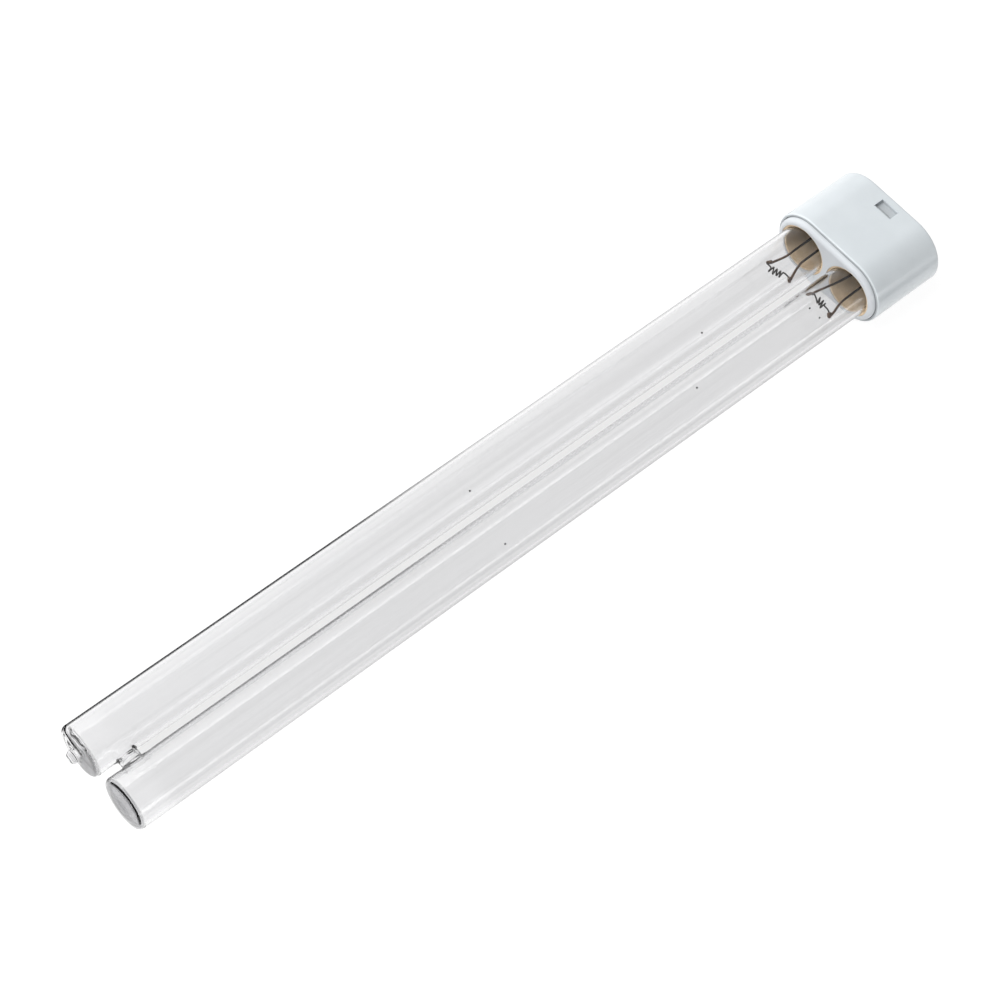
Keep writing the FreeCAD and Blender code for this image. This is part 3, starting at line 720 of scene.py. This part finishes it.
# %% Soften the neck into the tubes
SOFTENED = {"a": (-1, 7.6, 90), "b": (1, 7.2, 50)}
SOFT_BAND = (0.6, 6.5)
MERGE_CUTS_WITHIN = 2e-6

mesh = bmesh.new()
mesh.from_mesh(tubes.data)
bmesh.ops.remove_doubles(mesh, verts=mesh.verts, dist=MERGE_CUTS_WITHIN)
mesh = in_order(mesh)
for tube, (side, reach, rounds) in SOFTENED.items():
    near = [v for v in mesh.verts
            if SOFT_BAND[0] * MM < v.co.y * side < SOFT_BAND[1] * MM
            and math.hypot(v.co.x - BRIDGE_PLACE * MM, v.co.z) < reach * MM]
    for _ in range(rounds):
        bmesh.ops.smooth_vert(mesh, verts=near, factor=0.5,
                              use_axis_x=True, use_axis_y=True, use_axis_z=True)
    print(f"tube {tube}: {len(near)} points softened {rounds} times")
mesh.to_mesh(tubes.data)
mesh.free()

# %% Fold the pinched end
FOLD_FROM = Vector((-16.9, 4.3))
FOLD_TO = Vector((-7.8, 4.5))
FOLD_RISE = 0.2
FOLD_WIDTH = 0.55
TROUGH_DEPTH = 0.12
TROUGH_PLACE = 1.1
TROUGH_WIDTH = 0.6
WOBBLE = 0.35
WRINKLE = 0.02
END_WALL = HOLLOW_END - 0.3
END_FACE = TUBE_RADIUS - 0.7
TIP_CLEAR = 0.9


def fold_at(y, z):
    """How far the pinched end stands out or in at a point across it, in millimetres."""
    point = Vector((y, z))
    crease = FOLD_TO - FOLD_FROM
    share = max(0.0, min(1.0, (point - FOLD_FROM).dot(crease) / crease.length_squared))
    off = (point - FOLD_FROM - crease * share).length
    off += WOBBLE * noise.noise(Vector((y * 0.5, z * 0.5, 3.1)))
    ridge = FOLD_RISE * math.exp(-(off / FOLD_WIDTH) ** 2)
    trough = -TROUGH_DEPTH * math.exp(-((off - TROUGH_PLACE) / TROUGH_WIDTH) ** 2)
    return ridge + trough + WRINKLE * noise.noise(Vector((y * 0.7, z * 0.7, 7.7)))


for vertex in tubes.data.vertices:
    x, y, z = vertex.co / MM
    out = math.hypot(y - tube_axis["a"], z)
    if y < 0 and x > END_WALL and out < END_FACE:
        fade = min(1.0, END_FACE - out) * min(1.0, max(0.0, (out - TIP_RADIUS) / TIP_CLEAR))
        vertex.co.x += fold_at(y, z) * fade * MM
print("pinched end folded")

# %% Finish the tubes
def finish_piece(piece, material, nodes, sharp=40):
    """Shade a piece smooth up to an angle, give it its material, and let it stand for its nodes."""
    data = piece.data
    data.materials.clear()
    data.materials.append(material)
    data.polygons.foreach_set("use_smooth", [True] * len(data.polygons))
    data.set_sharp_from_angle(angle=math.radians(sharp))
    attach(piece, "root")
    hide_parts(*nodes)
    print(f"{piece.name}: {len(data.polygons)} faces for {', '.join(nodes)}")


finish_piece(tubes, clear_glass, ["glass_envelope"])

# %% [markdown]
# ## The leads and the coils
#
# Each press holds two stiff leads. They are bent apart by hand tools and their ends are hooked over
# to clamp the coil, so no two are quite alike. The coil is tungsten wire that was wound, stretched
# and dipped in a white oxide; when the lamp has burned, it sags into uneven loops. Both are drawn as
# smooth paths with a round section. The places are measured across the lamp at the tubes' middle
# plane, and the third number of a coil's point lifts it towards the viewer.

# %% A wire along a path
BEND_STEPS = 7
SWELL = 1.3


def smooth_path(points, tension):
    """Points of a soft line through the given ones; a low tension keeps the bends tight."""
    points = [Vector(p) for p in points]
    last = len(points) - 1
    line = []
    for index in range(last):
        before, start, end, after = (points[max(0, min(last, index + k))] for k in (-1, 0, 1, 2))
        leave, arrive = (end - before) * tension, (after - start) * tension
        for step in range(BEND_STEPS):
            t = step / BEND_STEPS
            line.append(start * (2 * t ** 3 - 3 * t ** 2 + 1) + leave * (t ** 3 - 2 * t ** 2 + t)
                        + end * (3 * t ** 2 - 2 * t ** 3) + arrive * (t ** 3 - t ** 2))
    return [*line, points[-1]]


def wire(name, points, radius, tension, swollen=0):
    """A closed round wire through points in millimetres, thicker along its last few points."""
    line = smooth_path(points, tension)
    curve = bpy.data.curves.new(name, "CURVE")
    curve.dimensions = "3D"
    curve.bevel_depth = radius * MM
    curve.bevel_resolution = 3
    curve.use_fill_caps = True
    spline = curve.splines.new("POLY")
    spline.points.add(len(line) - 1)
    for index, (point, place) in enumerate(zip(spline.points, line)):
        point.co = (*(place * MM), 1.0)
        point.radius = SWELL if index > len(line) - swollen * BEND_STEPS else 1.0
    path = bpy.data.objects.new(name + "_path", curve)
    bpy.context.scene.collection.objects.link(path)
    graph = bpy.context.evaluated_depsgraph_get()
    mesh = bmesh.new()
    mesh.from_mesh(bpy.data.meshes.new_from_object(path.evaluated_get(graph)))
    bpy.data.objects.remove(path)
    bmesh.ops.remove_doubles(mesh, verts=mesh.verts, dist=MERGE_WITHIN)
    bmesh.ops.recalc_face_normals(mesh, faces=mesh.faces)
    return to_object(in_order(mesh), name)


print("wire helper ready")

# %% Bend the leads
LEAD_RADIUS = 0.4
LEAD_TENSION = 0.3
WELD = 18.0
PRESS_END = 21.0
LEADS = {
    "lead_wire_a_outer": [
        (24.2, -11.7), (31.5, -11.65), (33.8, -11.55), (36.0, -11.6), (40.5, -12.45), (41.7, -12.9)],
    "lead_wire_a_inner": [
        (25.3, -6.97), (31.5, -6.85), (33.5, -6.75), (35.2, -6.35), (37.0, -5.8), (41.2, -4.15)],
    "lead_wire_b_inner": [
        (23.8, 6.58), (28.0, 6.1), (30.5, 5.7), (33.6, 5.0), (37.5, 4.15), (40.1, 3.5)],
    "lead_wire_b_outer": [
        (24.8, 11.87), (31.5, 12.0), (33.5, 12.1), (35.8, 12.5), (38.5, 13.35), (40.9, 13.8)],
}
HOOKS = {
    "lead_wire_a_outer": [(42.5, -13.3, 0.5), (41.9, -12.7, 0.9), (41.3, -12.9, 0.4)],
    "lead_wire_a_inner": [(42.0, -3.9, 0.4), (41.5, -4.6, 0.8), (40.9, -4.3, 0.5)],
    "lead_wire_b_inner": [(40.9, 3.2, 0.4), (40.6, 3.9, 0.9), (39.9, 3.7, 0.5)],
    "lead_wire_b_outer": [(41.6, 13.9, 0.4), (41.2, 13.2, 0.8), (40.4, 13.5, 0.5)],
}
for node, places in LEADS.items():
    start = [(WELD, places[0][1], 0), (PRESS_END, places[0][1], 0)]
    bends = [(x, y, 0) for x, y in places]
    hook = HOOKS[node]
    lead = wire(node + "_bent", start + bends + hook, LEAD_RADIUS, LEAD_TENSION, swollen=len(hook))
    finish_piece(lead, lead_metal, [node], sharp=60)

# %% Let the coils sag
COIL_RADIUS = 0.26
COIL_TENSION = 0.35
TO_VIEWER = Vector((0.55, 0.31, 0.77)).normalized()
COILS = {
    "cathode_coil_a": [
        (42.55, -13.38, 0.3), (42.69, -11.35, 0.4), (44.49, -10.67, -0.5), (41.88, -10.85, 0.6),
        (44.14, -9.14, -0.6), (41.53, -9.70, 0.6), (43.58, -8.08, -0.6), (41.13, -8.44, 0.6),
        (43.28, -7.10, -0.5), (40.99, -7.53, 0.4), (40.74, -5.96, 0.2), (41.34, -4.28, 0.1),
    ],
    "cathode_coil_b": [
        (39.65, 4.14, 0.3), (38.86, 4.50, 0.4), (39.71, 6.34, -0.5), (40.48, 7.65, 0.6),
        (38.37, 6.70, -0.6), (40.65, 8.52, 0.6), (38.35, 8.20, -0.6), (41.13, 9.54, 0.6),
        (38.74, 9.39, -0.5), (39.51, 9.80, 0.4), (39.66, 11.46, 0.2), (40.47, 13.31, 0.1),
    ],
}
for node, places in COILS.items():
    loops = [Vector((x, y, 0)) + TO_VIEWER * lift for x, y, lift in places]
    coil = wire(node + "_loops", loops, COIL_RADIUS, COIL_TENSION)
    finish_piece(coil, coil_metal, [node], sharp=60)

# %% [markdown]
# ## Mercury
#
# The dose is a few milligrams of mercury. When the lamp is cold it gathers into beads that roll to
# the lowest line of each tube. Their colour is painted near black, a painted reflection of the dark
# room overhead, so they look like black specks.
# Each bead is a small sphere, and all of them are one piece, as they are one part in the model.

# %% Drop the beads
BEAD_RADIUS = 0.32
BEAD_GAP = 0.02
BEADS = [
    ("a", 63.5, 8), ("a", 159.2, -1),
    ("b", 29.5, -5), ("b", 30.5, -42), ("b", 80.0, -43), ("b", 162.9, 0),
]
mesh = bmesh.new()
track = BORE_RADIUS - BEAD_RADIUS - BEAD_GAP
for tube, along, degrees in BEADS:
    round_the_tube = math.radians(degrees)
    place = Vector((GLASS_START + along, tube_axis[tube] + track * math.sin(round_the_tube),
                    -track * math.cos(round_the_tube)))
    bmesh.ops.create_uvsphere(mesh, u_segments=20, v_segments=12, radius=BEAD_RADIUS * MM,
                              matrix=Matrix.Translation(place * MM))
bmesh.ops.recalc_face_normals(mesh, faces=mesh.faces)
finish_piece(to_object(in_order(mesh), "beads"), mercury, ["mercury_beads"], sharp=60)

# %% [markdown]
# ## The room
#
# Glass shows its room, so the room is built for it. The floor is white paper that glows evenly for
# the camera and for rays that the glass bends or mirrors, and still takes the lamp's shadow. The
# lamp rests on its base and on the tubes' far ends, so the paper is tilted a little under it. Tubes
# bend light as lenses do and leave stripes of shade on the paper. Tracing those would take far more
# rays than the whole picture, so they are drawn in the paper as soft stripes along the lamp.
#
# A broad soft light stands on one side with a bright strip above it, and a narrow strip lies low on
# the other side: their reflections are the pale bands along the tubes. The sky is white to the
# camera and darker in the glass, which leaves the middle of each tube a calm grey. The fills light
# the base and aren't mirrored. A dark card on the floor beside the far end and a dark strip further
# off on the other side darken the tubes' edges, as black cards in a studio do.

# %% The tilted paper
FLOOR_TOUCH = 27.3
FAR_TOUCH = GLASS_END - 1.8
BASE_HALF_HEIGHT = 12.375
REST_TILT = math.atan2(BASE_HALF_HEIGHT - TUBE_RADIUS, FAR_TOUCH - FLOOR_TOUCH)
FLOOR_SIZE = 6.0
floor_mesh = bmesh.new()
bmesh.ops.create_grid(floor_mesh, x_segments=1, y_segments=1, size=FLOOR_SIZE)
turn = Matrix.Rotation(-REST_TILT, 4, "Y")
seat = Matrix.Translation(Vector((FLOOR_TOUCH, 0, -BASE_HALF_HEIGHT)) * MM)
bmesh.ops.transform(floor_mesh, matrix=seat @ turn, verts=floor_mesh.verts)
floor = to_object(floor_mesh, "floor")
paper, tree = new_material("white_paper")
floor.data.materials.append(paper)
print(f"floor tilted {math.degrees(REST_TILT):.2f} degrees, where base and tubes both rest on it")

# %% The stripes of shade
SHADE_START = (8.0, 16.0)
SHADE_END = (304.0, 296.0)
SHADE_BLUR = 1.4
GAP_SHADE = (-4.3, 2.4, 0.25)
SIDE_SHADES = [
    (7.0, 16.4, 0.11), (-4.9, 2.6, 0.11), (16.4, 5.0, 0.12), (18.2, 1.9, 0.09),
    (-16.4, 4.2, 0.08), (-23.8, 3.0, 0.12), (-0.2, 1.2, 0.06),
]
PALER = (180.0, 300.0)
PALER_SHARE = 0.4
floor_x, floor_y, _ = split(tree, object_place(tree))


def shade(tree, place, half_width, depth):
    """A soft stripe of shade along the lamp, between its base and the bridge."""
    off = maths(tree, "ABSOLUTE", maths(tree, "SUBTRACT", floor_y, place * MM))
    return product(tree, ramp(tree, off, half_width + SHADE_BLUR, half_width),
                   ramp(tree, floor_x, *SHADE_START), ramp(tree, floor_x, *SHADE_END), depth)


side_shade = 0.0
for stripe in SIDE_SHADES:
    side_shade = maths(tree, "ADD", side_shade, shade(tree, *stripe))
paler = maths(tree, "SUBTRACT", 1.0, product(tree, ramp(tree, floor_x, *PALER), PALER_SHARE))
print(f"{len(SIDE_SHADES)} stripes beside the gap's own")

# %% The paper's surface
PAPER_WHITE = (0.8, 0.8, 0.8)
PAPER_FIBRES = (0.82, 0.82, 0.82)
SHADOW_WHITE = (0.16, 0.16, 0.16, 1.0)
PAPER_GLOW = 0.93
wear = use_group(tree, mottle, Coarse_Scale=3.0, Fine_Scale=400.0,
                 Roughness_Low=0.85, Roughness_High=0.95)
matt = add_node(tree, "ShaderNodeBsdfDiffuse", {
    "Color": mix_colours(tree, wear.outputs["Mask"], PAPER_WHITE, PAPER_FIBRES),
})
dim = add_node(tree, "ShaderNodeBsdfDiffuse", {"Color": SHADOW_WHITE})
path = add_node(tree, "ShaderNodeLightPath")
by_camera = path.outputs["Is Camera Ray"]
by_glass = maths(tree, "MAXIMUM",
                 path.outputs["Is Transmission Ray"], path.outputs["Is Glossy Ray"])
all_shade = maths(tree, "ADD", product(tree, shade(tree, *GAP_SHADE), by_camera),
                  product(tree, side_shade, by_glass, paler))
glow = add_node(tree, "ShaderNodeEmission", {
    "Strength": maths(tree, "SUBTRACT", PAPER_GLOW, all_shade),
})
seen = add_node(tree, "ShaderNodeAddShader", {0: dim.outputs[0], 1: glow.outputs[0]})
show(tree, add_node(tree, "ShaderNodeMixShader", {
    0: maths(tree, "MAXIMUM", by_camera, by_glass),
    1: matt.outputs[0], 2: seen.outputs[0],
}))
print("material", paper.name)

# %% Lights
def softbox(name, place, aim, size, radiance, mirrored=True, shines=True):
    """A soft area light, by the brightness of its face: mirrored in the glass, shining, or both."""
    data = bpy.data.lights.new(name, "AREA")
    data.shape = "RECTANGLE"
    data.size, data.size_y = size
    data.energy = radiance * math.pi * size[0] * size[1]
    lamp = bpy.data.objects.new(name, data)
    place = Vector(place)
    toward = (Vector(aim) - place).normalized()
    side = Vector((1, 0, 0))
    side = (side - toward * side.dot(toward)).normalized()
    axes = Matrix((side, side.cross(toward), -toward)).transposed()
    lamp.matrix_world = Matrix.Translation(place) @ axes.to_4x4()
    lamp.visible_camera = False
    lamp.visible_glossy = mirrored
    lamp.visible_diffuse = shines
    lamp.visible_transmission = mirrored
    bpy.context.scene.collection.objects.link(lamp)


MIDDLE = (0.16, 0.0, 0.0)
softbox("broad_side_light", (0.16, -0.95, 0.42), MIDDLE, (1.5, 0.7), 0.95)
softbox("bright_strip_above_it", (0.16, -0.66, 0.76), MIDDLE, (1.4, 0.14), 1.9)
softbox("low_strip_opposite", (0.16, 0.9, 0.035), MIDDLE, (1.4, 0.12), 3.8, shines=False)
softbox("front_fill", (0.66, -0.38, 1.2), MIDDLE, (0.9, 0.9), 5.9, mirrored=False)
softbox("low_front_fill", (1.2, 0.3, 0.42), MIDDLE, (0.6, 0.6), 3.0, mirrored=False)
softbox("bounce_card", (0.015, 0.09, -0.0118), (0.015, 0.09, 1.0), (0.12, 0.10), 1.0,
        mirrored=False)

# %% Sky
SKY_LIGHT = 0.18
SKY_IN_GLASS = 0.45
SKY_SEEN = 1.0
world = bpy.data.worlds.new("studio")
world.use_nodes = True
bpy.context.scene.world = world
tree = world.node_tree
tree.nodes.clear()
path = add_node(tree, "ShaderNodeLightPath")
by_glass = maths(tree, "MAXIMUM",
                 path.outputs["Is Glossy Ray"], path.outputs["Is Transmission Ray"])
strength = add_node(tree, "ShaderNodeMix", {"Factor": by_glass, "A": SKY_LIGHT, "B": SKY_IN_GLASS})
strength = add_node(tree, "ShaderNodeMix", {
    "Factor": path.outputs["Is Camera Ray"], "A": strength.outputs["Result"], "B": SKY_SEEN,
})
sky = add_node(tree, "ShaderNodeBackground", {
    "Color": (1.0, 1.0, 1.0, 1.0), "Strength": strength.outputs["Result"],
})
add_node(tree, "ShaderNodeOutputWorld", {"Surface": sky.outputs[0]})
print("sky ready")

# %% Cards beside the tubes
CARD_LIFT = 0.6


def dark_card(name, low, high, glow, fade=None):
    """A card on the floor between two corners, seen only by reflection.

    A fade is the two places along the lamp between which its faint glow goes out.
    """
    mesh = bmesh.new()
    bmesh.ops.create_grid(mesh, x_segments=1, y_segments=1, size=0.5)
    centre = (Vector(low) + Vector(high)) / 2
    size = Vector(high) - Vector(low)
    stretch = Matrix.Diagonal((size.x * MM, size.y * MM, 1, 1))
    shape = Matrix.Translation(centre.to_3d() * MM) @ stretch
    lift = Matrix.Translation(Vector((-FLOOR_TOUCH, 0, CARD_LIFT)) * MM)
    bmesh.ops.transform(mesh, matrix=seat @ turn @ lift @ shape, verts=mesh.verts)
    thing = to_object(mesh, name)
    material, tree = new_material(name)
    if fade:
        along, _, _ = split(tree, object_place(tree))
        glow = add_node(tree, "ShaderNodeMapRange", {
            "Value": along, "From Min": fade[0] * MM, "From Max": fade[1] * MM,
            "To Min": glow, "To Max": 0.0,
        }).outputs["Result"]
    show(tree, add_node(tree, "ShaderNodeEmission", {"Strength": glow}))
    thing.data.materials.append(material)
    thing.visible_camera = False
    thing.visible_diffuse = False
    thing.visible_shadow = False
    thing.visible_transmission = False
    print(f"{name}: {size.x:.0f} x {size.y:.0f} mm")


dark_card("dark_card", (10, -52), (345, -23), 0.6, fade=(130, 215))
dark_card("dark_strip", (-60, 50), (380, 112), 0.05)
